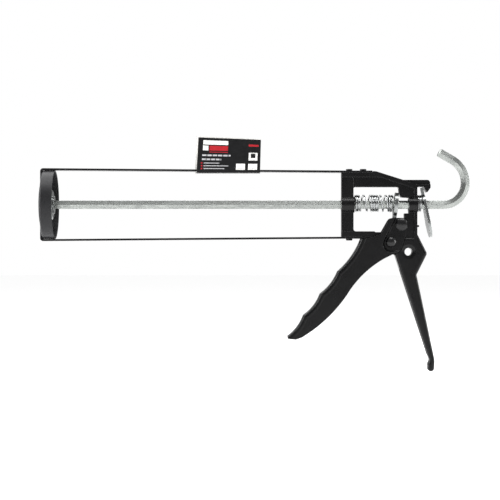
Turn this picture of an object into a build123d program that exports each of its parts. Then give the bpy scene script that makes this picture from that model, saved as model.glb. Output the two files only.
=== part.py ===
from build123d import *

import os
from math import asin, cos, degrees, radians, sin, tan

os.makedirs("parts", exist_ok=True)

# A skeleton caulking gun. The hexagonal rod runs along X through the origin.
# -X is the nozzle end, +X the hook end, +Z is up. X = 0 is the front face of the
# housing, which the cartridge bears on. All sizes are millimetres and degrees.

# ------------------------------------------------------------ driving dimensions

# Rod, hook and plunger
ROD_ACROSS_FLATS = 6.35
HOOK_START_X = 79.0
HOOK_BEND_R = 17.0
HOOK_TOP_R = 20.4
HOOK_TOP_TURN = 60
HOOK_TAIL = 12.0
ROD_END_CHAMFER = 0.8
STUD_R = 2.4
STUD_HEAD_R = 3.6
STUD_HEAD_HEIGHT = 1.2
PLUNGER_R = 22.5
PLUNGER_SHEET = 1.4
PLUNGER_HUB_R = 11.0
PLUNGER_CONE_R = 14.5
PLUNGER_RISE = 4.1
PLUNGER_SETBACK = 6.8
WASHER_R = 7.0
WASHER_THICKNESS = 1.2

# Cradle: strap, cup and rivets
CRADLE_LENGTH = 230.2
STRAP_WIDTH = 12.0
STRAP_THICKNESS = 1.5
STRAP_BEND_R = 0.8
STRAP_TAIL = 23.6
EYE_R = 16.5
NOZZLE_HOLE_R = 11.0
CUP_R = 26.5
CUP_DEPTH = 9.6
CUP_WALL = 1.0
CUP_HOLE_R = 13.0
CUP_EDGE_R = 1.6
RIVET_SHANK_R = 1.6
RIVET_HEAD_R = 2.5
RIVET_HEAD_HEIGHT = 1.4
RIVET_DEPTH = 3.0
RIVET_FIRST_X = 6.1
RIVET_SPACING = 10.8

# Housing casting
HOUSING_HALF_HEIGHT = 24.8
FLANGE_HALF = 6.0
WEB_HALF = 4.0
POST_DEPTH = 9.2
POST_HALF = 5.0
TOP_FLANGE = 3.4
TOP_FLAT = 26.4
TOP_STEP = 1.0
TOP_SLOPE = 17.6
WINDOW_DROP = 11.2
ARM_DEPTH = 4.2
ARM_FLANGE_END = 26.1
BLOCK_X = 44.3
REAR_POST_FRONT_X = 48.6
REAR_POST_X = 58.4
REAR_STRIP = 2.4
FRONT_BOSS_WALL = 2.2
FRONT_BOSS_LENGTH = 10.0
REAR_BOSS_WALL = 1.8
REAR_BOSS_FRONT_X = 52.1
REAR_BOSS_PROUD = 0.5
BOSS_SPREAD = 2.4  # each boss is an oval lying across the casting, proud of its sides
CATCH_RISE = 3.6
CATCH_LENGTH = 10.2
CATCH_FLANGE = 1.9
CATCH_RIB_HALF = 2.6
CATCH_DROP = 4.7
PEG_R = 0.8
PEG_LENGTH = 1.8
PEG_Z = -16.5

# Fixed handle, placed from the trigger pivot
HANDLE_LENGTH = 91.4
HANDLE_WALL = 2.4
HANDLE_BACK = 2.8
HANDLE_EDGE_R = 2.0
HANDLE_TIP_R = 2.5
HANG_DX = 13.6
HANG_DZ = -7.5
HANG_HOLE_R = 3.0
HANG_DISH_R = 5.6
HANG_DISH_DEPTH = 1.0

# Trigger
PIVOT_X = 38.0
PIVOT_DROP = 4.1
PIVOT_R = 2.6
PUSHER_DX = 8.3
PUSHER_DZ = 13.7
PUSHER_R = 3.5
PIN_HEAD_RIM = 1.5
PIN_HEAD_HEIGHT = 2.2
CHEEK_END_R = 9.3
PUSHER_END_R = 5.0
CHEEK_WALL = 2.0
FINGER_RIM = 3.6
FINGER_RIM_PROUD = 0.6
FINGER_WALL = 4.0
FINGER_EDGE_R = 2.3
FRONT_WALL_TOP = -0.6
JOGGLE_SLOPE = 35
JOGGLE_WALL = 2.2

# Plates and springs
DRIVE_THICKNESS = 2.6
DRIVE_R = 9.4
DRIVE_TAIL_HALF = 4.0
DRIVE_TAIL_PAST_PIN = 2.5
DRIVE_TILT = 5.5
RELEASE_THICKNESS = 2.0
RELEASE_TILT = 10.4
RELEASE_TAB_R = 11.3
RELEASE_COLLAR_R = 8.2
RELEASE_NECK_HALF = 2.6
RELEASE_LENGTH = 39.0
RELEASE_BEHIND_POST = 3.8
SPRING_WIRE_R = 0.6
SPRING_TURNS = 9
RELEASE_SPRING_WIRE_R = 0.5
RELEASE_SPRING_TURNS = 2
SPRING_LIFT = 1.0

# Retail card, folded round the top run of the strap
CARD_X = -87.5
CARD_LENGTH = 49.0
CARD_HEIGHT = 26.0
CARD_SHEET = 0.4
CARD_LEFT_LEAN = 1.5  # the leaves lean a little, as handled board does
CARD_RIGHT_LEAN = 0.7
CARD_FRONT_RISE = 1.7  # front leaf's left corner, over CARD_HEIGHT
CARD_FRONT_DROP = 1.4  # front leaf's right corner, under CARD_HEIGHT
CARD_BACK_RISE = 3.2
CARD_BACK_SHIFT = 2.0  # the back leaf starts this much further left

# Clearances
RUNNING = 0.05  # a pin turning in its hole
ROD_CLEARANCE = 0.35  # the rod's corners in the bosses
PLATE_CLEARANCE = 0.45  # the rod's corners in the two gripping plates
SLIDING = 0.3  # faces of two bodies that pass each other
CHEEK_CLEARANCE = 0.4  # the trigger's cheeks beside the casting
SPRING_GAP = 2.0  # the rod's corners inside both springs
CUP_CLEARANCE = 0.15  # the strap's runs beside the cup
PLUNGER_PLAY = 0.15  # end play of the plunger on the rod's stud

# ------------------------------------------------------------ places that follow

ROD_CORNER_R = ROD_ACROSS_FLATS / 2 / cos(radians(30))
ROD_BORE_R = ROD_CORNER_R + ROD_CLEARANCE
PLATE_HOLE_R = ROD_CORNER_R + PLATE_CLEARANCE
FRONT_BOSS_R = ROD_BORE_R + FRONT_BOSS_WALL
REAR_BOSS_R = ROD_BORE_R + REAR_BOSS_WALL
SPRING_R = ROD_CORNER_R + SPRING_GAP + SPRING_WIRE_R
RELEASE_SPRING_R = ROD_CORNER_R + SPRING_GAP + RELEASE_SPRING_WIRE_R

PIVOT_Z = -HOUSING_HALF_HEIGHT - PIVOT_DROP
PUSHER_X = PIVOT_X + PUSHER_DX
PUSHER_Z = PIVOT_Z + PUSHER_DZ

SLOPE = tan(radians(TOP_SLOPE))
REAR_SHELF_Z = HOUSING_HALF_HEIGHT + TOP_STEP - (REAR_POST_X - TOP_FLAT) * SLOPE
ARM_TOP_Z = -HOUSING_HALF_HEIGHT + ARM_DEPTH
CATCH_TOP = REAR_SHELF_Z + CATCH_RISE
WINDOW_TOP = HOUSING_HALF_HEIGHT - WINDOW_DROP
BLOCK_FLOOR = ROD_BORE_R + 1.6
BLOCK_NOSE_Z = BLOCK_FLOOR + 0.41 * (WINDOW_TOP - BLOCK_FLOOR)

GRIP_HALF = max(FLANGE_HALF, STRAP_WIDTH / 2) + CHEEK_CLEARANCE
GRIP_OUTER = GRIP_HALF + CHEEK_WALL
RIM_OUTER = GRIP_OUTER + FINGER_RIM_PROUD
NECK_HALF = WEB_HALF + CHEEK_CLEARANCE
NECK_OUTER = NECK_HALF + CHEEK_WALL

CUP_FLOOR_X = -CRADLE_LENGTH
CUP_FRONT_X = CUP_FLOOR_X - CUP_WALL
STRAP_FRONT_X = CUP_FRONT_X - STRAP_THICKNESS
STRAP_FRONT_HALF = CUP_R + CUP_CLEARANCE

DRIVE_X = (
    BLOCK_X + 0.3 - SLIDING - DRIVE_R * sin(radians(DRIVE_TILT)) - DRIVE_THICKNESS / 2
)
RELEASE_TOP_X = REAR_POST_X + RELEASE_BEHIND_POST
RELEASE_TOP_Z = REAR_SHELF_Z - CATCH_FLANGE - 0.6


def outline(*corners, mode=Mode.ADD):
    """Fill a closed outline given as (x, z, corner radius)."""
    with BuildLine() as border:
        FilletPolyline(
            *[(x, z) for x, z, _ in corners],
            radius=[radius for _, _, radius in corners],
            close=True,
        )
    make_face(border.line, mode=mode)


def from_pivot(*corners):
    """Corners given from the trigger pivot, as corners in the model's frame."""
    return [(PIVOT_X + x, PIVOT_Z + z, radius) for x, z, radius in corners]


# ------------------------------------------------------------ cradle

with BuildPart() as cradle_strap:
    rear_half = HOUSING_HALF_HEIGHT
    outer_rear = rear_half + STRAP_THICKNESS
    outer_front = STRAP_FRONT_HALF + STRAP_THICKNESS
    outer_bend = STRAP_BEND_R + STRAP_THICKNESS
    with BuildSketch(Plane.XZ):
        outline(
            (STRAP_TAIL, outer_rear, 0),
            (0, outer_rear, 0),
            (STRAP_FRONT_X, outer_front, outer_bend),
            (STRAP_FRONT_X, -outer_front, outer_bend),
            (0, -outer_rear, 0),
            (STRAP_TAIL, -outer_rear, 0),
            (STRAP_TAIL, -rear_half, 0),
            (0, -rear_half, 0),
            (CUP_FRONT_X, -STRAP_FRONT_HALF, STRAP_BEND_R),
            (CUP_FRONT_X, STRAP_FRONT_HALF, STRAP_BEND_R),
            (0, rear_half, 0),
            (STRAP_TAIL, rear_half, 0),
        )
    extrude(amount=STRAP_WIDTH / 2, both=True)
    # the round eye that the nozzle passes through
    with BuildSketch(Plane.YZ.offset(STRAP_FRONT_X)):
        Circle(EYE_R)
    extrude(amount=STRAP_THICKNESS)
    with BuildSketch(Plane.YZ.offset(STRAP_FRONT_X)):
        Circle(NOZZLE_HOLE_R)
    extrude(amount=STRAP_THICKNESS, mode=Mode.SUBTRACT)
    with Locations(Plane.XY):
        with Locations((RIVET_FIRST_X, 0), (RIVET_FIRST_X + RIVET_SPACING, 0)):
            Hole(RIVET_SHANK_R, depth=2 * outer_rear)

with BuildPart() as front_cup:
    with BuildSketch(Plane.YZ.offset(CUP_FRONT_X)):
        Circle(CUP_R)
    extrude(amount=CUP_DEPTH)
    fillet(front_cup.faces().sort_by(Axis.X)[0].edges(), CUP_EDGE_R)
    with BuildSketch(Plane.YZ.offset(CUP_FLOOR_X)):
        Circle(CUP_R - CUP_WALL)
    extrude(amount=CUP_DEPTH, mode=Mode.SUBTRACT)
    fillet(front_cup.faces().filter_by(Plane.YZ).sort_by(Axis.X)[1].edges(), CUP_EDGE_R - CUP_WALL)
    with BuildSketch(Plane.YZ.offset(CUP_FRONT_X)):
        Circle(CUP_HOLE_R)
    extrude(amount=CUP_WALL, mode=Mode.SUBTRACT)
    fillet(front_cup.faces().sort_by(Axis.X)[-1].edges(), CUP_WALL / 4)


def strap_rivet_pair(seat):
    """Two rivets through the strap into the housing, heads on the seat plane."""
    with BuildPart() as pair:
        with BuildSketch(seat):
            with Locations((RIVET_FIRST_X, 0), (RIVET_FIRST_X + RIVET_SPACING, 0)):
                Circle(RIVET_HEAD_R)
        extrude(amount=RIVET_HEAD_HEIGHT)
        crown_edges = [
            edge
            for edge in pair.edges()
            if abs(abs(edge.center().Z) - abs(seat.origin.Z)) > RIVET_HEAD_HEIGHT / 2
        ]
        fillet(ShapeList(crown_edges).filter_by(GeomType.CIRCLE), RIVET_HEAD_HEIGHT / 3)
        with BuildSketch(seat):
            with Locations((RIVET_FIRST_X, 0), (RIVET_FIRST_X + RIVET_SPACING, 0)):
                Circle(RIVET_SHANK_R)
        extrude(amount=-(STRAP_THICKNESS + RIVET_DEPTH))
    return pair


strap_rivets_top = strap_rivet_pair(Plane.XY.offset(outer_rear))
bottom_seat = Plane(origin=(0, 0, -outer_rear), x_dir=(1, 0, 0), z_dir=(0, 0, -1))
strap_rivets_bottom = strap_rivet_pair(bottom_seat)

# ------------------------------------------------------------ housing casting

BACK_LEAN = 0.2145  # how far the handle's back leans to the rear, per mm down
strip_x = REAR_POST_X - REAR_STRIP
foot_z = -HANDLE_LENGTH

with BuildPart() as housing:
    # handle, with its flare behind the hang hole
    with BuildSketch(Plane.XZ):
        outline(
            *from_pivot(
                (9.0, 3.4, 0),
                (strip_x - PIVOT_X, 3.4, 0),
                (strip_x - PIVOT_X, 9.0, 0),
                (REAR_POST_X - PIVOT_X, 9.0, 0),
                (REAR_POST_X - PIVOT_X, 6.3, 3.0),
                (28.1, -8.9, 3.0),
                (19.85, -25.4, 2.5),
                (33.9, foot_z, 8.0),
                (33.4, foot_z - 8.5, HANDLE_TIP_R),
                (28.1, foot_z - 8.5, HANDLE_TIP_R),
                (28.6, foot_z - 3.2, 1.5),
                (29.8, foot_z, 2.0),
                (3.6, -11.1, 0),
                (2.0, -6.0, 0),
            )
        )
    extrude(amount=FLANGE_HALF, both=True)
    # round the outer edges of the handle's back
    back_edges = [
        edge
        for edge in housing.edges()
        if abs(abs(edge.center().Y) - FLANGE_HALF) < 0.01
        and edge.center().Z < PIVOT_Z + 6
        and edge.center().X > PIVOT_X + 18 - (edge.center().Z - PIVOT_Z + 25) * BACK_LEAN
    ]
    fillet(ShapeList(back_edges), HANDLE_EDGE_R)

    # thick rims: front post, bottom arm, rear strip
    with BuildSketch(Plane.XZ):
        outline(
            (0, -HOUSING_HALF_HEIGHT, 0.6),
            (ARM_FLANGE_END, -HOUSING_HALF_HEIGHT, 0),
            (ARM_FLANGE_END, ARM_TOP_Z, 0),
            (0, ARM_TOP_Z, 0),
        )
        outline(
            (strip_x, -HOUSING_HALF_HEIGHT, 0),
            (REAR_POST_X, -HOUSING_HALF_HEIGHT, 0),
            (REAR_POST_X, REAR_SHELF_Z, 0),
            (strip_x, REAR_SHELF_Z, 0),
        )
    extrude(amount=FLANGE_HALF, both=True)
    with BuildSketch(Plane.XZ):
        outline(
            (0, -HOUSING_HALF_HEIGHT, 0),
            (POST_DEPTH, -HOUSING_HALF_HEIGHT, 0),
            (POST_DEPTH, HOUSING_HALF_HEIGHT, 0),
            (0, HOUSING_HALF_HEIGHT, 0),
        )
    extrude(amount=POST_HALF, both=True)
    # top flange: flat under the strap, then sloping to the shelf that carries the catch
    catch_end_x = REAR_POST_X + CATCH_LENGTH
    with BuildSketch(Plane.XZ):
        outline(
            (0, HOUSING_HALF_HEIGHT, 0.6),
            (STRAP_TAIL + SLIDING, HOUSING_HALF_HEIGHT, 0),
            (STRAP_TAIL + SLIDING, HOUSING_HALF_HEIGHT + TOP_STEP, 0),
            (TOP_FLAT, HOUSING_HALF_HEIGHT + TOP_STEP, 5.0),
            (REAR_POST_X, REAR_SHELF_Z, 3.0),
            (catch_end_x, REAR_SHELF_Z, 0),
            (catch_end_x, REAR_SHELF_Z - 2.6, 1.5),
            (catch_end_x - 2.9, REAR_SHELF_Z - CATCH_FLANGE - CATCH_DROP, 0.5),
            (catch_end_x - 4.9, REAR_SHELF_Z - CATCH_FLANGE, 1.6),
            (REAR_POST_X, REAR_SHELF_Z - CATCH_FLANGE, 0.8),
            (REAR_POST_X, REAR_SHELF_Z - TOP_FLANGE, 0),
            (REAR_POST_X - 6.0, REAR_SHELF_Z - TOP_FLANGE + 1.7, 3.0),
            (TOP_FLAT + 3.6, HOUSING_HALF_HEIGHT - TOP_FLANGE, 8.0),
            (0, HOUSING_HALF_HEIGHT - TOP_FLANGE, 0),
        )
    extrude(amount=FLANGE_HALF, both=True)
    # rib on the catch, level with its top
    with BuildSketch(Plane.XZ):
        outline(
            (REAR_POST_X - 14.0, REAR_SHELF_Z + 1.0, 0),
            (REAR_POST_X - CATCH_RISE / SLOPE, CATCH_TOP, 2.0),
            (catch_end_x, CATCH_TOP, 2.2),
            (catch_end_x, REAR_SHELF_Z - 1.0, 0),
            (REAR_POST_X - 14.0, REAR_SHELF_Z - 1.0, 0),
        )
    extrude(amount=CATCH_RIB_HALF, both=True)
    # web that fills the rims, with the round seat of the pivot
    with BuildSketch(Plane.XZ):
        outline(
            (0, HOUSING_HALF_HEIGHT - 1.0, 0),
            (TOP_FLAT, HOUSING_HALF_HEIGHT - 1.0, 0),
            (REAR_POST_X, REAR_SHELF_Z - 1.0, 0),
            (REAR_POST_X, PIVOT_Z, 0),
            (PIVOT_X + 14.0, PIVOT_Z - 16.0, 0),
            (PIVOT_X + 4.5, PIVOT_Z - 11.1, 0),
            (PIVOT_X - 4.5, PIVOT_Z - 5.4, 2.0),
            (PIVOT_X - 11.0, -HOUSING_HALF_HEIGHT, 3.0),
            (0, -HOUSING_HALF_HEIGHT + 1.0, 0),
        )
    extrude(amount=WEB_HALF, both=True)
    # the window, with the block that the drive plate rests against and the rod gap below it
    with BuildSketch(Plane.XZ):
        outline(
            (POST_DEPTH, WINDOW_TOP, 1.5),
            (BLOCK_X - 0.2, WINDOW_TOP, 1.5),
            (BLOCK_X + 0.3, BLOCK_NOSE_Z, 1.0),
            (BLOCK_X + 1.6, BLOCK_FLOOR, 1.0),
            (REAR_BOSS_FRONT_X, BLOCK_FLOOR - 0.4, 0),
            (REAR_BOSS_FRONT_X, -REAR_BOSS_R - 0.9, 0),
            (REAR_POST_FRONT_X, -REAR_BOSS_R - 0.9, 0.4),
            (REAR_POST_FRONT_X, PUSHER_Z, 0),
            (REAR_POST_FRONT_X - 4.0, ARM_TOP_Z - 0.6, 2.0),
            (ARM_FLANGE_END, ARM_TOP_Z - 0.6, 0),
            (ARM_FLANGE_END - 1.0, ARM_TOP_Z, 0),
            (POST_DEPTH, ARM_TOP_Z, 2.0),
        )
        # room for the pusher pin at rest
        with Locations((PUSHER_X, PUSHER_Z)):
            Circle(PUSHER_R + 2 * SLIDING)
    extrude(amount=FLANGE_HALF + 1, both=True, mode=Mode.SUBTRACT)
    # the rod's two bosses
    with BuildSketch(Plane.YZ):
        SlotCenterToCenter(2 * BOSS_SPREAD, 2 * FRONT_BOSS_R)
    extrude(amount=FRONT_BOSS_LENGTH)
    with BuildSketch(Plane.YZ.offset(REAR_BOSS_FRONT_X)):
        SlotCenterToCenter(2 * BOSS_SPREAD, 2 * REAR_BOSS_R)
    extrude(amount=REAR_POST_X + REAR_BOSS_PROUD - REAR_BOSS_FRONT_X)
    with BuildSketch(Plane.YZ):
        Circle(ROD_BORE_R)
    extrude(amount=REAR_POST_X + CATCH_LENGTH, mode=Mode.SUBTRACT)
    # small peg that stops the release plate
    with BuildSketch(Plane.YZ.offset(REAR_POST_X)):
        with Locations((0, PEG_Z)):
            Circle(PEG_R)
    extrude(amount=PEG_LENGTH)
    # the handle's sides are cut back round the trigger's cheeks
    for side in (-1, 1):
        with BuildSketch(Plane.XZ.offset(side * WEB_HALF)):
            with Locations((PIVOT_X, PIVOT_Z)):
                Circle(CHEEK_END_R + SLIDING)
            with Locations((PUSHER_X, PUSHER_Z)):
                Circle(PUSHER_END_R + SLIDING)
            make_hull()
        extrude(amount=side * (FLANGE_HALF - WEB_HALF + 1), mode=Mode.SUBTRACT)
    # hollow front of the handle
    with BuildSketch(Plane.XZ):
        outline(
            *from_pivot(
                (-5.0, -21.0, 0),
                (19.0 - HANDLE_BACK, -21.0, 3.0),
                (20.4 - HANDLE_BACK, -27.0, 3.0),
                (33.4 - HANDLE_BACK, foot_z + 4.0, 0.5),
                (10.0, foot_z + 4.0, 0),
            )
        )
    extrude(amount=FLANGE_HALF - HANDLE_WALL, both=True, mode=Mode.SUBTRACT)
    # hang hole with its dished rims
    with BuildSketch(Plane.XZ):
        with Locations((PIVOT_X + HANG_DX, PIVOT_Z + HANG_DZ)):
            Circle(HANG_HOLE_R)
    extrude(amount=FLANGE_HALF, both=True, mode=Mode.SUBTRACT)
    for side in (-1, 1):
        dish_y = side * (FLANGE_HALF - HANG_DISH_DEPTH / 2)
        dish_place = (PIVOT_X + HANG_DX, dish_y, PIVOT_Z + HANG_DZ)
        with Locations(Plane(origin=dish_place, z_dir=(0, side, 0))):
            Cone(HANG_HOLE_R, HANG_DISH_R, HANG_DISH_DEPTH, mode=Mode.SUBTRACT)
    # bore the rivet turns in, and the strap rivets' holes
    with BuildSketch(Plane.XZ):
        with Locations((PIVOT_X, PIVOT_Z)):
            Circle(PIVOT_R + RUNNING)
    extrude(amount=FLANGE_HALF, both=True, mode=Mode.SUBTRACT)
    for side in (-1, 1):
        with BuildSketch(Plane.XY.offset(side * HOUSING_HALF_HEIGHT)):
            with Locations((RIVET_FIRST_X, 0), (RIVET_FIRST_X + RIVET_SPACING, 0)):
                Circle(RIVET_SHANK_R)
        extrude(amount=-side * RIVET_DEPTH, mode=Mode.SUBTRACT)

# ------------------------------------------------------------ trigger

# tips of the ridges between the finger grooves, from the pivot, top to bottom
FINGER_TIPS = [(-23.3, 2.1), (-41.0, -22.7), (-54.6, -40.0), (-67.6, -56.6), (-79.9, -72.9)]
GROOVE_DEPTHS = [1.9, 1.6, 1.7, 1.6]
GRIP_INWARD = Vector(0.79, -0.61)  # from the finger side into the grip


def finger_side(inset, *behind):
    """Fill the side shape whose front follows the finger grooves, set in by inset.

    behind closes the shape, as places from the pivot or arcs given by three of them.
    """
    pivot = Vector(PIVOT_X, PIVOT_Z)
    tips = [pivot + Vector(x, z) + GRIP_INWARD * inset for x, z in FINGER_TIPS]
    here = tips[-1]
    with BuildLine() as border:
        for start, end, depth in zip(tips, tips[1:], GROOVE_DEPTHS):
            SagittaArc(start, end, depth)
        for step in behind:
            places = [pivot + Vector(x, z) for x, z in step]
            if len(places) == 1:
                Line(here, places[0])
            else:
                ThreePointArc(here, *places)
            here = places[-1]
        Line(here, tips[0])
    make_face(border.line)


def neck_zone(grow, mode=Mode.ADD):
    """Fill the zone round the pivot and the pusher where the cheeks are set in."""
    outline(
        *from_pivot(
            (5.5 - 1.12 * grow, 20.9, 0),
            (-8.3 - 1.62 * grow, -6.5 - grow, 5.0 + grow),
            (30.0, -6.5 - grow, 0),
            (30.0, 20.9, 0),
        ),
        mode=mode,
    )


with BuildPart() as trigger:
    # grip
    with BuildSketch(Plane.XZ) as grip_side:
        finger_side(
            0,
            [(-79.5, -74.6)],
            [(-73.5, -75.2)],
            [(-68.7, -73.5)],
            [(-51.2, -60.4), (-33.9, -40.4)],
            [(-16.5, -20.4), (2.4, -8.9)],
            [(0, 0)],
            [(-16.7, 3.1)],
        )
        ridge_vertices = [
            vertex
            for vertex in grip_side.vertices()
            for x, z in FINGER_TIPS[1:-1]
            if abs(vertex.X - PIVOT_X - x) + abs(vertex.Y - PIVOT_Z - z) < 0.1
        ]
        fillet(ShapeList(ridge_vertices), 2.0)
    extrude(amount=RIM_OUTER, both=True)
    finger_edges = [
        edge
        for edge in trigger.edges().filter_by(GeomType.CIRCLE)
        if abs(abs(edge.center().Y) - RIM_OUTER) < 0.01 and edge.length < 36
    ]
    fillet(ShapeList(finger_edges), FINGER_EDGE_R)
    # behind the rim the sides are a little lower
    for side in (-1, 1):
        with BuildSketch(Plane.XZ.offset(side * GRIP_OUTER)):
            finger_side(FINGER_RIM, [(-60, -110)], [(30, -110)], [(30, 30)], [(-10, 30)])
        extrude(amount=side * FINGER_RIM_PROUD, mode=Mode.SUBTRACT)
    # cheeks: up past the bottom arm, round the pivot and round the pusher
    with BuildSketch(Plane.XZ):
        with Locations((PIVOT_X, PIVOT_Z)):
            Circle(CHEEK_END_R)
        with Locations((PUSHER_X, PUSHER_Z)):
            Circle(PUSHER_END_R)
        make_hull()
        outline(
            *from_pivot(
                (-18.7, 2.1, 0),
                (-16.7, 3.1, 2.0),
                (-12.3, 4.6, 3.0),
                (-8.0, 5.9, 2.5),
                (-0.7, PUSHER_DZ + PUSHER_END_R, 4.0),
                (PUSHER_DX, PUSHER_DZ + PUSHER_END_R, 0),
                (PUSHER_DX, PUSHER_DZ, 0),
                (2.4, -8.9, 0),
                (-16.0, -18.0, 0),
            )
        )
    extrude(amount=GRIP_OUTER, both=True)
    # set in round the pivot and the pusher, with a sloped step
    for side in (-1, 1):
        with BuildSketch(Plane.XZ.offset(side * NECK_OUTER)):
            neck_zone(0)
        extrude(amount=side * (RIM_OUTER - NECK_OUTER), taper=-JOGGLE_SLOPE, mode=Mode.SUBTRACT)
    # hollow, open at the top and the rear
    with BuildSketch(Plane.XZ):
        finger_side(FINGER_WALL, [(-60, -110)], [(30, -110)], [(30, 30)], [(-10, 30)])
        outline(
            *from_pivot(
                (-30, FRONT_WALL_TOP, 0), (30, FRONT_WALL_TOP, 0), (30, 30, 0), (-30, 30, 0)
            )
        )
        neck_zone(JOGGLE_WALL, mode=Mode.SUBTRACT)
    extrude(amount=GRIP_HALF, both=True, mode=Mode.SUBTRACT)
    with BuildSketch(Plane.XZ):
        neck_zone(JOGGLE_WALL + 1)
    extrude(amount=NECK_HALF, both=True, mode=Mode.SUBTRACT)
    # holes for the pivot rivet and the pusher pin
    with BuildSketch(Plane.XZ):
        with Locations((PIVOT_X, PIVOT_Z)):
            Circle(PIVOT_R)
        with Locations((PUSHER_X, PUSHER_Z)):
            Circle(PUSHER_R)
    extrude(amount=RIM_OUTER, both=True, mode=Mode.SUBTRACT)


def cross_pin(x, z, shank_r):
    """A pin across both cheeks at (x, z), with a domed head on each side."""
    head_r = shank_r + PIN_HEAD_RIM
    crown = NECK_OUTER + PIN_HEAD_HEIGHT
    dome_r = (head_r**2 + PIN_HEAD_HEIGHT**2) / (2 * PIN_HEAD_HEIGHT)
    dome_angle = degrees(asin(head_r / dome_r))
    with BuildPart() as pin:
        with BuildSketch(Plane.XY.offset(z)):
            with BuildLine() as profile:
                Line((x, -crown), (x, crown))
                CenterArc((x, crown - dome_r), dome_r, 90 - dome_angle, dome_angle)
                Polyline(
                    (x + head_r, NECK_OUTER),
                    (x + shank_r, NECK_OUTER),
                    (x + shank_r, -NECK_OUTER),
                    (x + head_r, -NECK_OUTER),
                )
                CenterArc((x, dome_r - crown), dome_r, -90, dome_angle)
            make_face(profile.line)
        revolve(axis=Axis((x, 0, z), (0, 1, 0)))
    return pin


pivot_rivet = cross_pin(PIVOT_X, PIVOT_Z, PIVOT_R)
pusher_pin = cross_pin(PUSHER_X, PUSHER_Z, PUSHER_R)

# ------------------------------------------------------------ plates that grip the rod

with BuildPart() as drive_plate:
    lean = radians(DRIVE_TILT)
    tail_length = (-PUSHER_Z + DRIVE_TAIL_PAST_PIN) / cos(lean)
    drive_plane = Plane(origin=(DRIVE_X, 0, 0), x_dir=(0, 1, 0), z_dir=(cos(lean), 0, -sin(lean)))
    with BuildSketch(drive_plane) as drive_face:
        with Locations((0, -tail_length / 2)):
            Rectangle(2 * DRIVE_TAIL_HALF, tail_length)
        fillet(drive_face.vertices().group_by(Axis.Y)[0], 1.2)
        Circle(DRIVE_R)
        Circle(PLATE_HOLE_R, mode=Mode.SUBTRACT)
    extrude(amount=DRIVE_THICKNESS / 2, both=True)

with BuildPart() as release_plate:
    lean = radians(RELEASE_TILT)
    rod_y = -RELEASE_TOP_Z / cos(lean)  # where the rod crosses, down from the top edge
    tab_y = -(RELEASE_LENGTH - RELEASE_TAB_R)
    release_plane = Plane(
        origin=(RELEASE_TOP_X, 0, RELEASE_TOP_Z), x_dir=(0, 1, 0), z_dir=(cos(lean), 0, sin(lean))
    )
    with BuildSketch(release_plane):
        with Locations((0, rod_y)):
            Circle(RELEASE_COLLAR_R)
        with Locations((0, tab_y)):
            Circle(RELEASE_TAB_R)
        make_hull()
        with Locations((0, rod_y / 2)):
            Rectangle(2 * RELEASE_NECK_HALF, -rod_y)
        with Locations((0, rod_y)):
            Circle(PLATE_HOLE_R, mode=Mode.SUBTRACT)
    extrude(amount=RELEASE_THICKNESS / 2, both=True)


def coil_spring(start_x, end_x, mean_r, wire_r, turns):
    """A round-wire spring round the rod, its outside reaching from start_x to end_x."""
    height = end_x - start_x - 2 * wire_r
    with BuildPart() as spring:
        with BuildLine() as coil:
            Helix(height / turns, height, mean_r, (start_x + wire_r, 0, SPRING_LIFT), (1, 0, 0))
        with BuildSketch(Plane(origin=coil.line @ 0, z_dir=coil.line % 0)):
            Circle(wire_r)
        sweep(path=coil.line, is_frenet=True)
    return spring


# each spring ends at the nearest part of the leaning plate behind it
drive_front_x = (
    DRIVE_X
    - DRIVE_THICKNESS / 2 / cos(radians(DRIVE_TILT))
    - (SPRING_R + SPRING_WIRE_R - SPRING_LIFT) * tan(radians(DRIVE_TILT))
)
release_spring_top = SPRING_LIFT + RELEASE_SPRING_R + RELEASE_SPRING_WIRE_R
release_front_x = (
    RELEASE_TOP_X
    - RELEASE_THICKNESS / 2 / cos(radians(RELEASE_TILT))
    + (RELEASE_TOP_Z - release_spring_top) * tan(radians(RELEASE_TILT))
)
main_spring = coil_spring(
    FRONT_BOSS_LENGTH, drive_front_x, SPRING_R, SPRING_WIRE_R, SPRING_TURNS
)
release_spring = coil_spring(
    REAR_POST_X + REAR_BOSS_PROUD,
    release_front_x,
    RELEASE_SPRING_R,
    RELEASE_SPRING_WIRE_R,
    RELEASE_SPRING_TURNS,
)

# ------------------------------------------------------------ rod and plunger

hub_x = CUP_FLOOR_X + PLUNGER_SETBACK
flange_x = hub_x - PLUNGER_RISE
washer_x = hub_x + WASHER_THICKNESS
rod_front_x = washer_x + PLUNGER_PLAY
stud_head_x = hub_x - PLUNGER_SHEET - PLUNGER_PLAY

with BuildPart() as rod:
    with BuildLine(Plane.XZ) as rod_path:
        straight = Line((rod_front_x, 0), (HOOK_START_X, 0))
        bend = JernArc(straight @ 1, straight % 1, HOOK_BEND_R, 90)
        top = JernArc(bend @ 1, bend % 1, HOOK_TOP_R, HOOK_TOP_TURN)
        Line(top @ 1, (top @ 1) + HOOK_TAIL * (top % 1))
    with BuildSketch(Plane.YZ.offset(rod_front_x)):
        RegularPolygon(ROD_CORNER_R, 6)
    sweep(path=rod_path.line)
    tail_face = rod.faces().sort_by_distance(rod_path.line @ 1)[0]
    chamfer(tail_face.edges(), ROD_END_CHAMFER)
    # stud through the plunger, with its end peened over
    with BuildSketch(Plane.YZ.offset(stud_head_x)):
        Circle(STUD_R)
    extrude(amount=rod_front_x - stud_head_x)
    with BuildSketch(Plane.YZ.offset(stud_head_x)):
        Circle(STUD_HEAD_R)
    extrude(amount=-STUD_HEAD_HEIGHT)
    fillet(rod.edges().sort_by(Axis.X)[0], STUD_HEAD_HEIGHT / 2)

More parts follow.
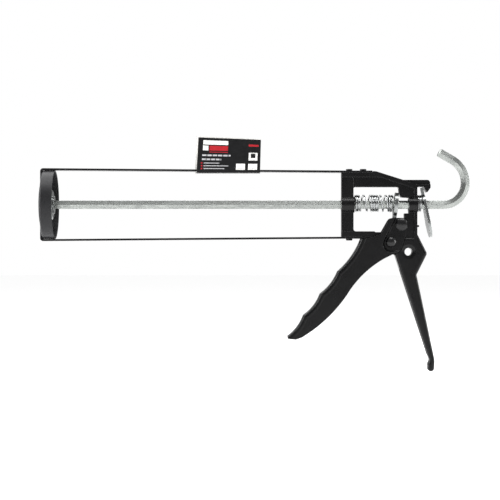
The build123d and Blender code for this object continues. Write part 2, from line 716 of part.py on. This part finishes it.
with BuildPart() as plunger_plate:
    stud_hole_r = STUD_R + RUNNING
    with BuildSketch(Plane.XZ):
        outline(
            (hub_x, stud_hole_r, 0),
            (hub_x, PLUNGER_HUB_R, 1.0),
            (flange_x, PLUNGER_CONE_R, 1.5),
            (flange_x, PLUNGER_R, 0.5),
            (flange_x - PLUNGER_SHEET, PLUNGER_R, 0.5),
            (flange_x - PLUNGER_SHEET, PLUNGER_CONE_R - 0.4, 1.5),
            (hub_x - PLUNGER_SHEET, PLUNGER_HUB_R - 0.4, 1.0),
            (hub_x - PLUNGER_SHEET, stud_hole_r, 0),
        )
    revolve(axis=Axis.X)

with BuildPart() as plunger_washer:
    with BuildSketch(Plane.YZ.offset(hub_x)):
        Circle(WASHER_R)
        Circle(stud_hole_r, mode=Mode.SUBTRACT)
    extrude(amount=WASHER_THICKNESS)

# ------------------------------------------------------------ retail card

with BuildPart() as retail_card:
    half = CARD_LENGTH / 2
    inner = STRAP_WIDTH / 2
    fold_z = HOUSING_HALF_HEIGHT - CARD_SHEET  # just under the strap's top run
    back_corner_x = CARD_X - half + CARD_LEFT_LEAN - CARD_BACK_SHIFT
    with BuildSketch(Plane.XZ.offset(-inner)):
        outline(
            (CARD_X - half - CARD_BACK_SHIFT, fold_z, 0),
            (CARD_X + half, fold_z, 0),
            (CARD_X + half + CARD_RIGHT_LEAN, fold_z + CARD_HEIGHT, 0),
            (back_corner_x, fold_z + CARD_HEIGHT + CARD_BACK_RISE, 0),
        )
    extrude(amount=-CARD_SHEET)
    with BuildSketch(Plane.XZ.offset(inner)):
        outline(
            (CARD_X - half, fold_z, 0),
            (CARD_X + half, fold_z, 0),
            (CARD_X + half + CARD_RIGHT_LEAN, fold_z + CARD_HEIGHT - CARD_FRONT_DROP, 0),
            (CARD_X - half + CARD_LEFT_LEAN, fold_z + CARD_HEIGHT + CARD_FRONT_RISE, 0),
        )
    extrude(amount=CARD_SHEET)
    with BuildSketch(Plane.XY.offset(fold_z)):
        with Locations((CARD_X, 0)):
            Rectangle(CARD_LENGTH, 2 * (inner + CARD_SHEET))
    extrude(amount=CARD_SHEET)

# ------------------------------------------------------------ names and files

housing.part.label = "housing"
export_step(housing.part, "parts/housing.step")
cradle_strap.part.label = "cradle_strap"
export_step(cradle_strap.part, "parts/cradle_strap.step")
front_cup.part.label = "front_cup"
export_step(front_cup.part, "parts/front_cup.step")
strap_rivets_top.part.label = "strap_rivets_top"
export_step(strap_rivets_top.part, "parts/strap_rivets_top.step")
strap_rivets_bottom.part.label = "strap_rivets_bottom"
export_step(strap_rivets_bottom.part, "parts/strap_rivets_bottom.step")
trigger.part.label = "trigger"
export_step(trigger.part, "parts/trigger.step")
pivot_rivet.part.label = "pivot_rivet"
export_step(pivot_rivet.part, "parts/pivot_rivet.step")
pusher_pin.part.label = "pusher_pin"
export_step(pusher_pin.part, "parts/pusher_pin.step")
drive_plate.part.label = "drive_plate"
export_step(drive_plate.part, "parts/drive_plate.step")
release_plate.part.label = "release_plate"
export_step(release_plate.part, "parts/release_plate.step")
main_spring.part.label = "main_spring"
export_step(main_spring.part, "parts/main_spring.step")
release_spring.part.label = "release_spring"
export_step(release_spring.part, "parts/release_spring.step")
rod.part.label = "rod"
export_step(rod.part, "parts/rod.step")
plunger_plate.part.label = "plunger_plate"
export_step(plunger_plate.part, "parts/plunger_plate.step")
plunger_washer.part.label = "plunger_washer"
export_step(plunger_washer.part, "parts/plunger_washer.step")
retail_card.part.label = "retail_card"
export_step(retail_card.part, "parts/retail_card.step")
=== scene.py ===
# %% [markdown]
# # A skeleton caulking gun
# This file dresses the solid model of a caulking gun. The solid model gives every
# rigid part its exact shape and its place, so most of the work here is in finishes:
# powder coat, zinc plate, spring wire and printed board. Three things are made anew,
# because their look depends on detail that solids don't carry well: the two coil
# springs, whose turns are bunched unevenly, and the printed card that hangs on the cradle.

import math

import bmesh
import bpy
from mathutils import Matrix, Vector


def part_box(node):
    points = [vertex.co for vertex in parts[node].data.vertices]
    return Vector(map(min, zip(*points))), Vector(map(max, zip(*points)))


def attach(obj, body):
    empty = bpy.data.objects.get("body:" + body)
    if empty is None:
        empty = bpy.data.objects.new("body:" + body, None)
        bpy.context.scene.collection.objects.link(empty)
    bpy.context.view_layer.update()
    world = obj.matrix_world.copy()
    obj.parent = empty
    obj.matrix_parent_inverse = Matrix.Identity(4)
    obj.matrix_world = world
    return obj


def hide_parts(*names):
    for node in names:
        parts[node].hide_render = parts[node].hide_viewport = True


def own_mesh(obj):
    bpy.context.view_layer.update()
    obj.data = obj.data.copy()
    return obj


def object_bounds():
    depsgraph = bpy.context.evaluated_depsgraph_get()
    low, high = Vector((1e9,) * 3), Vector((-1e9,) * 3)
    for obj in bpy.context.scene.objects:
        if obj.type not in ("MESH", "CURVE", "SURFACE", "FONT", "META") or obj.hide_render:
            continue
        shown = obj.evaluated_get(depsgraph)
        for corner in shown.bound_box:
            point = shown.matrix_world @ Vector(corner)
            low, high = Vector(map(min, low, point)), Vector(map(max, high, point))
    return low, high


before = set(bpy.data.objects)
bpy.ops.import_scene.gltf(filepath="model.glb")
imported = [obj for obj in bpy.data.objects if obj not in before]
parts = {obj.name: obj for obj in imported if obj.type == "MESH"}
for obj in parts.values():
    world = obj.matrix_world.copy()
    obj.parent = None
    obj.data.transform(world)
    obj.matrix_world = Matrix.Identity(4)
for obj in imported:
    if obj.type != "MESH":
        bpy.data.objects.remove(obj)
cad_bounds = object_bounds()
MM = 0.001
print("solid parts:", len(parts))

# %% [markdown]
# Blender shades in linear light, while colours are usually written as the hex values
# seen on a screen. One function turns the one into the other. A second adds a node:
# it takes the node's own settings by name, and for each input either a number or
# the socket that feeds it.

# %% Colour and node helpers


def screen_colour(code):
    """Linear RGBA for an sRGB hex colour."""
    channels = [int(code[i : i + 2], 16) / 255 for i in (0, 2, 4)]
    return [c / 12.92 if c <= 0.04045 else ((c + 0.055) / 1.055) ** 2.4 for c in channels] + [1]


def add_node(tree, kind, inputs=None, **settings):
    """Add a node, set its properties, and fill or link its inputs."""
    node = tree.nodes.new(kind)
    for name, value in settings.items():
        setattr(node, name, value)
    for name, value in (inputs or {}).items():
        if isinstance(value, bpy.types.NodeSocket):
            tree.links.new(value, node.inputs[name])
        else:
            node.inputs[name].default_value = value
    return node


def empty_material(name):
    """A material with only an output, and its tree."""
    material = bpy.data.materials.new(name)
    material.use_nodes = True
    material.node_tree.nodes.clear()
    return material, material.node_tree


def blend_by(tree, factor, low, high):
    """A colour between two, by a factor socket."""
    mix = add_node(tree, "ShaderNodeMix", {"Factor": factor}, data_type="RGBA")
    mix.inputs[6].default_value = low
    mix.inputs[7].default_value = high
    return mix.outputs[2]


def spread(tree, value, low, high, to_low, to_high):
    """Map one range of a value to another, clamped."""
    inputs = {
        "Value": value,
        "From Min": low,
        "From Max": high,
        "To Min": to_low,
        "To Max": to_high,
    }
    return add_node(tree, "ShaderNodeMapRange", inputs).outputs["Result"]


def grain(tree, size_mm, stretch=(1, 1, 1), detail=2.0):
    """Noise whose blotches are about size_mm across on the object itself."""
    place = add_node(tree, "ShaderNodeTexCoord").outputs["Object"]
    scaled = add_node(tree, "ShaderNodeMapping", {"Vector": place, "Scale": stretch})
    inputs = {"Vector": scaled.outputs[0], "Scale": 1 / (size_mm * MM), "Detail": detail}
    return add_node(tree, "ShaderNodeTexNoise", inputs).outputs["Fac"]


# %% [markdown]
# The cradle, the casting and the trigger are black powder coat. Powder is sprayed on
# dry and melted in an oven, so it leaves a satin skin with a faint orange peel about
# half a millimetre across, and it rounds every edge a little. The round edges matter
# more than the colour: they catch the light as thin lines and draw the shape of a
# black object. A Bevel node gives the edges that radius without changing the solids.

# %% Powder coat


def powder_coat(name, dark, light, roughness, peel_mm, edge_mm, shine=0.24):
    """Black coating melted on metal, with orange peel and softened edges."""
    material, tree = empty_material(name)
    peel = grain(tree, peel_mm, detail=3.0)
    cloud = grain(tree, 14.0)
    edge = add_node(tree, "ShaderNodeBevel", {"Radius": edge_mm * MM}, samples=6)
    bump_inputs = {
        "Strength": 0.22,
        "Distance": 0.06 * MM,
        "Height": peel,
        "Normal": edge.outputs[0],
    }
    bump = add_node(tree, "ShaderNodeBump", bump_inputs)
    coat_inputs = {
        "Base Color": blend_by(tree, cloud, screen_colour(dark), screen_colour(light)),
        "Roughness": spread(tree, cloud, 0.3, 0.7, roughness - 0.05, roughness + 0.05),
        "IOR": 1.5,
        "Specular IOR Level": shine,
        "Normal": bump.outputs[0],
    }
    coat = add_node(tree, "ShaderNodeBsdfPrincipled", coat_inputs)
    add_node(tree, "ShaderNodeOutputMaterial", {"Surface": coat.outputs[0]})
    return material


cast_coat = powder_coat("powder coat on die casting", "040405", "080809", 0.3, 0.6, 0.6)
strap_coat = powder_coat("powder coat on steel strap", "09090A", "0F0F11", 0.3, 0.5, 0.3)
cup_coat = powder_coat("powder coat on pressed cup", "1B1B1D", "242426", 0.48, 0.7, 0.3)
rivet_enamel = powder_coat(
    "gloss enamel on rivet heads", "060607", "0D0D0F", 0.33, 1.2, 0.3, shine=0.4
)

# %% [markdown]
# The rod is a drawn hexagonal steel bar with bright zinc on it. Drawing leaves fine
# lines along the bar, and barrel plating leaves patches that are duller where bars
# rubbed together. So the pattern is noise stretched along the bar, it changes both
# colour and roughness, and a metal keeps no other colour under it.

# %% Zinc plate


def zinc_plate(name, dull, bright, low, high, patch_mm, streak, edge_mm):
    """Electroplated zinc on steel: patchy shine and fine lines."""
    material, tree = empty_material(name)
    patch = grain(tree, patch_mm, stretch=streak, detail=5.0)
    lines = grain(tree, 0.5, stretch=(0.04, 1, 1), detail=2.0)
    specks = grain(tree, 0.9, detail=3.0)
    tone = add_node(tree, "ShaderNodeMath", {0: patch, 1: specks}, operation="MULTIPLY")
    mask = spread(tree, tone.outputs[0], 0.1, 0.4, 0.0, 1.0)
    edge = add_node(tree, "ShaderNodeBevel", {"Radius": edge_mm * MM}, samples=6)
    bump_inputs = {
        "Strength": 0.05,
        "Distance": 0.05 * MM,
        "Height": lines,
        "Normal": edge.outputs[0],
    }
    bump = add_node(tree, "ShaderNodeBump", bump_inputs)
    plate_inputs = {
        "Base Color": blend_by(tree, mask, screen_colour(dull), screen_colour(bright)),
        "Metallic": 1.0,
        "Roughness": spread(tree, mask, 0.0, 1.0, high, low),
        "Normal": bump.outputs[0],
    }
    plate = add_node(tree, "ShaderNodeBsdfPrincipled", plate_inputs)
    add_node(tree, "ShaderNodeOutputMaterial", {"Surface": plate.outputs[0]})
    return material


rod_zinc = zinc_plate(
    "zinc plate on drawn bar", "7C7F7D", "9DA09D", 0.2, 0.34, 4.0, (0.5, 1, 1), 0.3
)
pressed_zinc = zinc_plate(
    "zinc plate on stamped sheet", "7E8181", "9A9C9B", 0.22, 0.36, 3.0, (1, 1, 1), 0.3
)

# %% [markdown]
# Spring wire is drawn hard and plated bright, so it is the shiniest metal here and
# has no patches that show at its thickness. Only a slight change of roughness along
# the wire keeps it from looking like chrome.

# %% Spring wire
spring_wire, tree = empty_material("bright plated spring wire")
wire_shine = spread(tree, grain(tree, 2.0), 0.3, 0.7, 0.16, 0.28)
wire_inputs = {"Base Color": screen_colour("A4A6A6"), "Metallic": 1.0, "Roughness": wire_shine}
wire = add_node(tree, "ShaderNodeBsdfPrincipled", wire_inputs)
add_node(tree, "ShaderNodeOutputMaterial", {"Surface": wire.outputs[0]})

# %% [markdown]
# Each solid part now gets its finish. The meshes themselves stay as they are.

# %% Finishes on the solid parts
finishes = {
    "housing": cast_coat,
    "trigger": cast_coat,
    "cradle_strap": strap_coat,
    "strap_rivets_top": strap_coat,
    "strap_rivets_bottom": strap_coat,
    "front_cup": cup_coat,
    "pivot_rivet": rivet_enamel,
    "pusher_pin": rivet_enamel,
    "rod": rod_zinc,
    "drive_plate": pressed_zinc,
    "release_plate": pressed_zinc,
    "plunger_plate": pressed_zinc,
    "plunger_washer": pressed_zinc,
}
for name, finish in finishes.items():
    parts[name].data.materials.clear()
    parts[name].data.materials.append(finish)

# %% [markdown]
# A coil spring is a wire that follows a rule, which suits Geometry Nodes: a line of
# points is wound round the rod by its index, and a circle is swept along it. The
# turns of the long spring are not evenly spaced. They are wound tight at both ends
# and again in the middle, so a Float Curve says how far along the rod each turn is.

# %% Spring winding tree
STEPS_PER_TURN = 26


def winding_tree(name, spacing):
    """Geometry nodes that wind a spring along X; spacing is (turn share, length share)."""
    tree = bpy.data.node_groups.new(name, "GeometryNodeTree")
    sockets = {}
    for label in ("Start X", "Length", "Centre Z", "Coil Radius", "Wire Radius", "Turns"):
        socket = tree.interface.new_socket(label, in_out="INPUT", socket_type="NodeSocketFloat")
        sockets[label] = socket.identifier
    tree.interface.new_socket("Geometry", in_out="OUTPUT", socket_type="NodeSocketGeometry")
    given = add_node(tree, "NodeGroupInput").outputs

    def sum_of(operation, a, b):
        return add_node(tree, "ShaderNodeMath", {0: a, 1: b}, operation=operation).outputs[0]

    count = sum_of("MULTIPLY", given["Turns"], STEPS_PER_TURN)
    line = add_node(tree, "GeometryNodeMeshLine", {"Count": count})
    index = add_node(tree, "GeometryNodeInputIndex").outputs[0]
    share = sum_of("DIVIDE", index, sum_of("SUBTRACT", count, 1))
    shape = add_node(tree, "ShaderNodeFloatCurve", {"Value": share})
    points = shape.mapping.curves[0].points
    points[0].location, points[1].location = spacing[0], spacing[-1]
    for place in spacing[1:-1]:
        points.new(*place)
    for point in points:
        point.handle_type = "VECTOR"
    shape.mapping.update()
    angle = sum_of("MULTIPLY", share, sum_of("MULTIPLY", given["Turns"], math.tau))
    inner = sum_of("SUBTRACT", given["Length"], sum_of("MULTIPLY", given["Wire Radius"], 2.0))
    first = sum_of("ADD", given["Start X"], given["Wire Radius"])
    across = sum_of("MULTIPLY", given["Coil Radius"], sum_of("COSINE", angle, 0.0))
    rise = sum_of("MULTIPLY", given["Coil Radius"], sum_of("SINE", angle, 0.0))
    up = sum_of("ADD", given["Centre Z"], rise)
    along = sum_of("ADD", first, sum_of("MULTIPLY", shape.outputs[0], inner))
    place = add_node(tree, "ShaderNodeCombineXYZ", {"X": along, "Y": across, "Z": up})
    moved = {"Geometry": line.outputs[0], "Position": place.outputs[0]}
    wound = add_node(tree, "GeometryNodeSetPosition", moved).outputs[0]
    path = add_node(tree, "GeometryNodeMeshToCurve", {"Mesh": wound}).outputs[0]
    ring_inputs = {"Resolution": 10, "Radius": given["Wire Radius"]}
    ring = add_node(tree, "GeometryNodeCurvePrimitiveCircle", ring_inputs).outputs[0]
    swept = {"Curve": path, "Profile Curve": ring, "Fill Caps": True}
    tube = add_node(tree, "GeometryNodeCurveToMesh", swept).outputs[0]
    real = add_node(tree, "GeometryNodeRealizeInstances", {0: tube}).outputs[0]
    dressed = {"Geometry": real, "Material": spring_wire}
    done = add_node(tree, "GeometryNodeSetMaterial", dressed).outputs[0]
    add_node(tree, "NodeGroupOutput", {"Geometry": done})
    return tree, sockets


def wound_spring(name, spacing, **sizes):
    """Run a winding tree and keep its result as a plain mesh object."""
    tree, sockets = winding_tree(name + " winding", spacing)
    holder = bpy.data.objects.new(name + "_holder", bpy.data.meshes.new(name))
    bpy.context.scene.collection.objects.link(holder)
    winding = holder.modifiers.new("winding", "NODES")
    winding.node_group = tree
    for label, value in sizes.items():
        winding[sockets[label.replace("_", " ")]] = float(value)
    bpy.context.view_layer.update()
    graph = bpy.context.evaluated_depsgraph_get()
    mesh = bpy.data.meshes.new_from_object(holder.evaluated_get(graph))
    bpy.data.objects.remove(holder)
    spring = bpy.data.objects.new(name, mesh)
    bpy.context.scene.collection.objects.link(spring)
    for face in mesh.polygons:
        face.use_smooth = len(face.vertices) == 4
    print(name, "faces:", len(mesh.polygons))
    return spring


# %% [markdown]
# The long spring pushes the drive plate back and with it the trigger. It is held
# between the front boss and the plate, so it shortens by the plate's whole travel.

# %% Long spring
low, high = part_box("main_spring")
main_start, main_end = low.x, high.x
WIRE_R = 0.6 * MM
TURNS = 13.4
coil_r = (high.z - low.z) / 2 - WIRE_R
long_spring = wound_spring(
    "long_spring",
    [(0, 0), (0.2, 0.12), (0.32, 0.41), (0.66, 0.61), (0.8, 0.885), (1, 1)],
    Start_X=main_start,
    Length=main_end - main_start,
    Centre_Z=(low.z + high.z) / 2,
    Coil_Radius=coil_r,
    Wire_Radius=WIRE_R,
    Turns=TURNS,
)
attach(long_spring, "frame")
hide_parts("main_spring")
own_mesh(long_spring)

# %% [markdown]
# The short spring behind the housing holds the release plate tilted, which is what
# makes it bite on the rod. Thumb pressure closes it.

# %% Short spring
low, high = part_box("release_spring")
SHORT_WIRE_R = 0.5 * MM
SHORT_TURNS = 2.6
short_spring = wound_spring(
    "short_spring",
    [(0, 0), (0.25, 0.1), (0.75, 0.9), (1, 1)],
    Start_X=low.x,
    Length=high.x - low.x,
    Centre_Z=(low.z + high.z) / 2,
    Coil_Radius=(high.z - low.z) / 2 - SHORT_WIRE_R,
    Wire_Radius=SHORT_WIRE_R,
    Turns=SHORT_TURNS,
)
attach(short_spring, "frame")
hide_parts("release_spring")
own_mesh(short_spring)

# %% [markdown]
# The card is printed board folded round the top run of the cradle, black outside and
# white inside. The print is laid out as rectangles in millimetres. The front leaf is
# cut along every edge of that layout, and each face then holds one flat colour in an
# attribute that the material reads. The layout is a plain one, with bars where a card
# has its lines of small print.

# %% Card layout
INK = "0B0B0D"
WHITE = "F2F1EE"
RED = "AE1E28"
GREY = "B9B9BC"
low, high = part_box("retail_card")
card_floor, card_top = low.z, high.z
sheet = 0.4 * MM
front_y = low.y
back_y = high.y
CARD_LEFT, CARD_RIGHT = -112.0 * MM, -63.0 * MM
WIDE = 49.0
TALL = 28.0


def layout():
    """(left, right, bottom, top, colour) in mm from the front leaf's lower left corner."""
    blocks = [
        (4.0, 23.5, 22.6, 25.9, WHITE),
        (4.0, 8.2, 17.9, 21.7, WHITE),
        (9.0, 23.5, 17.9, 21.7, RED),
        (9.0, 23.5, 16.4, 16.9, RED),
        (39.5, 47.3, 22.0, 23.6, RED),
        (39.8, 46.6, 10.4, 16.8, WHITE),
        (41.4, 45.0, 12.4, 16.2, INK),
        (30.2, 37.2, 2.6, 7.6, WHITE),
        (39.6, 46.6, 2.6, 7.6, WHITE),
        (31.4, 36.0, 3.6, 4.2, GREY),
        (40.8, 45.4, 3.6, 4.2, GREY),
    ]
    for row, (bottom, length) in enumerate([(13.4, 22.0), (10.2, 15.0)]):
        step = 0.0
        while step < length:
            word = 3.4 - row * 0.5
            blocks.append((3.6 + step, 3.6 + min(step + word, length), bottom, bottom + 1.3, GREY))
            step += word + 0.7
    for bottom, length in [(7.6, 12.0), (5.4, 19.0), (3.2, 16.0)]:
        blocks.append((3.0, 4.2, bottom - 0.2, bottom + 0.9, RED))
        blocks.append((5.2, 5.2 + length, bottom, bottom + 0.6, GREY))
    return blocks


def colour_at(x, z, blocks):
    """The colour of the topmost block at a point in mm."""
    found = INK
    for left, right, bottom, top, colour in blocks:
        if left < x < right and bottom < z < top:
            found = colour
    return found


# %% [markdown]
# The board's outline leans a little, as it does on a card that has been handled: the
# front leaf is higher at the left, and the back leaf stands a little above it and to
# its left, so that its white inside shows along two edges.

# %% Card mesh
blocks = layout()
FRONT_BOW = 0.25 * MM
x_cuts = sorted({0.0, WIDE, *[b[0] for b in blocks], *[b[1] for b in blocks]})
z_cuts = sorted({0.0, TALL, *[b[2] for b in blocks], *[b[3] for b in blocks]})


def leaning_point(x, z, y, start, leans, drops):
    """A point of a leaf; start, leans and drops are in mm, at its left and right edges."""
    across, up = x / WIDE, z / TALL
    left = CARD_LEFT + (start + leans[0] * up) * MM
    right = CARD_RIGHT + leans[1] * up * MM
    lift = card_top - card_floor - (drops[0] + across * drops[1]) * MM
    return (left + (right - left) * across, y, card_floor + lift * up)


def front_place(x, z, y):
    """A point of the front leaf, which bows a little towards its top."""
    bow = FRONT_BOW * math.sin(math.pi * x / WIDE) * z / TALL
    return leaning_point(x, z, y + bow, 0.0, (1.5, 0.7), (1.7, 1.9))


def back_place(x, z, y):
    """A point of the back leaf."""
    return leaning_point(x, z, y, -1.7, (1.4, 0.6), (0.0, 2.4))


def leaf(bm, place, y_out, y_in, colours):
    """A closed board leaf between two Y planes, with a colour for each outer face."""
    ink = bm.faces.layers.float_color.get("print") or bm.faces.layers.float_color.new("print")
    skins = []
    for y in (y_out, y_in):
        skins.append([[bm.verts.new(place(x, z, y)) for z in z_cuts] for x in x_cuts])
    outer, inner = skins
    white = screen_colour(WHITE)
    for i in range(len(x_cuts) - 1):
        for j in range(len(z_cuts) - 1):
            middle = ((x_cuts[i] + x_cuts[i + 1]) / 2, (z_cuts[j] + z_cuts[j + 1]) / 2)
            for skin, colour in ((outer, colours(*middle)), (inner, white)):
                corners = [skin[i][j], skin[i + 1][j], skin[i + 1][j + 1], skin[i][j + 1]]
                if skin is inner:
                    corners.reverse()
                bm.faces.new(corners)[ink] = colour
    rim = [(i, 0) for i in range(len(x_cuts))]
    rim += [(len(x_cuts) - 1, j) for j in range(1, len(z_cuts))]
    rim += [(i, len(z_cuts) - 1) for i in range(len(x_cuts) - 2, -1, -1)]
    rim += [(0, j) for j in range(len(z_cuts) - 2, 0, -1)]
    for (i, j), (k, m) in zip(rim, rim[1:] + rim[:1]):
        face = bm.faces.new([outer[k][m], outer[i][j], inner[i][j], inner[k][m]])
        face[ink] = white


def fold_strip(bm):
    """The run of board under the strap, joining the two leaves."""
    ink = bm.faces.layers.float_color.get("print")
    made = bmesh.ops.create_cube(bm, size=1.0)
    lap = sheet * 0.98  # the strip runs into both leaves, short of their outer faces
    for vertex in made["verts"]:
        across = vertex.co.x + 0.5
        vertex.co = Vector(
            (
                CARD_LEFT + (CARD_RIGHT - CARD_LEFT) * across,
                (front_y + lap) * (0.5 - vertex.co.y) + (back_y - lap) * (vertex.co.y + 0.5),
                card_floor + sheet * (vertex.co.z + 0.5),
            )
        )
    for face in {f for v in made["verts"] for f in v.link_faces}:
        face[ink] = screen_colour(INK)


card_mesh = bpy.data.meshes.new("retail_card_board")
bm = bmesh.new()
leaf(bm, front_place, front_y, front_y + sheet, lambda x, z: screen_colour(colour_at(x, z, blocks)))
leaf(bm, back_place, back_y, back_y - sheet, lambda x, z: screen_colour(INK))
fold_strip(bm)
bmesh.ops.recalc_face_normals(bm, faces=bm.faces)
bm.to_mesh(card_mesh)
bm.free()
card = bpy.data.objects.new("retail_card_board", card_mesh)
bpy.context.scene.collection.objects.link(card)
print("card faces:", len(card_mesh.polygons))

# %% [markdown]
# Coated board has a soft gloss over the ink. The ink's colour comes from the face
# attribute, and a very fine noise stands for the tooth of the board.

# %% Printed board
board, tree = empty_material("coated printed board")
ink_colour = add_node(tree, "ShaderNodeAttribute", attribute_name="print").outputs["Color"]
tooth = add_node(
    tree, "ShaderNodeBump", {"Strength": 0.1, "Distance": 0.02 * MM, "Height": grain(tree, 0.4)}
)
board_inputs = {
    "Base Color": ink_colour,
    "Roughness": spread(tree, grain(tree, 6.0), 0.3, 0.7, 0.32, 0.42),
    "Specular IOR Level": 0.3,
    "Normal": tooth.outputs[0],
}
surface = add_node(tree, "ShaderNodeBsdfPrincipled", board_inputs)
add_node(tree, "ShaderNodeOutputMaterial", {"Surface": surface.outputs[0]})
card_mesh.materials.append(board)
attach(card, "frame")
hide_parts("retail_card")

# %% [markdown]
# The gun is shown against white. A narrow box overhead draws the highlights on bosses
# and rivet heads, and two boxes level with the gun draw thin lines down its edges
# while its flat sides stay black. The pale floor is far enough below for the trigger
# to swing down. The world is dimmer to reflections than to the eye, because a black
# satin object in an all-white room turns grey.

# %% Floor
floor_mesh = bpy.data.meshes.new("floor")
REACH = 6.0
FLOOR_DROP = 15.0 * MM
floor_z = cad_bounds[0][2] - FLOOR_DROP
square = [(-REACH, -REACH), (REACH, -REACH), (REACH, REACH), (-REACH, REACH)]
corners = [(x, y, floor_z) for x, y in square]
floor_mesh.from_pydata(corners, [], [(0, 1, 2, 3)])
floor = bpy.data.objects.new("floor", floor_mesh)
bpy.context.scene.collection.objects.link(floor)
paper, tree = empty_material("white paper sweep")
paper_inputs = {"Base Color": screen_colour("F7F7F7"), "Roughness": 0.9}
sweep = add_node(tree, "ShaderNodeBsdfPrincipled", paper_inputs)
add_node(tree, "ShaderNodeOutputMaterial", {"Surface": sweep.outputs[0]})
floor_mesh.materials.append(paper)
print("floor at", round(floor_z / MM, 1), "mm")

# %% World
scene = bpy.context.scene
scene.view_settings.view_transform = "Standard"
world = bpy.data.worlds.new("white studio")
scene.world = world
world.use_nodes = True
tree = world.node_tree
tree.nodes.clear()
seen = add_node(tree, "ShaderNodeLightPath").outputs["Is Camera Ray"]
strength = spread(tree, seen, 0.0, 1.0, 0.3, 1.0)
backdrop = add_node(tree, "ShaderNodeBackground", {"Color": (1, 1, 1, 1), "Strength": strength})
add_node(tree, "ShaderNodeOutputWorld", {"Surface": backdrop.outputs[0]})

# %% [markdown]
# A rounded black edge shows only what it reflects, so where the lights stand matters
# more than how strong they are. A lamp level with the gun can't be seen in its flat
# sides, only in its edges. A wide sun fills in the rest and leaves hardly any shadow.

# %% Lights


def soft_box(name, place, aim, size, power):
    """A rectangular area light at place, turned to face aim; metres and watts."""
    light = bpy.data.lights.new(name, "AREA")
    light.shape = "RECTANGLE"
    light.size, light.size_y = size
    light.energy = power
    lamp = bpy.data.objects.new(name, light)
    scene.collection.objects.link(lamp)
    lamp.location = place
    lamp.rotation_euler = (Vector(aim) - Vector(place)).to_track_quat("-Z", "Y").to_euler()


AIM = (-0.05, 0, -0.03)
soft_box("overhead", (-0.1, -0.25, 1.1), AIM, (1.6, 0.22), 14)
soft_box("left_side", (-1.3, -0.12, 0.35), AIM, (0.3, 1.2), 20)
soft_box("right_side", (1.2, -0.12, 0.2), AIM, (0.3, 1.2), 15)
daylight = bpy.data.lights.new("soft_daylight", "SUN")
daylight.energy = 2.75
daylight.angle = math.radians(60)
daylight_lamp = bpy.data.objects.new("soft_daylight", daylight)
scene.collection.objects.link(daylight_lamp)
daylight_lamp.rotation_euler = (math.radians(-32), math.radians(-8), 0)

# %% [markdown]
# The camera looks square on at the gun's side, from far enough away for the cup's
# mouth to show as a narrow ellipse. Its lens follows from the width of the view.

# %% Camera
CAMERA_X, CAMERA_Y, CAMERA_Z = -0.07076, -1.320, -0.03503
FIELD_WIDTH = 0.3875  # metres across the view, at the gun
SENSOR_MM = 36
camera_data = bpy.data.cameras.new("camera")
camera_data.sensor_width = SENSOR_MM
camera_data.lens = SENSOR_MM / FIELD_WIDTH * -CAMERA_Y
camera = bpy.data.objects.new("camera", camera_data)
scene.collection.objects.link(camera)
camera.location = (CAMERA_X, CAMERA_Y, CAMERA_Z)
camera.rotation_euler = (math.pi / 2, 0, 0)
scene.camera = camera
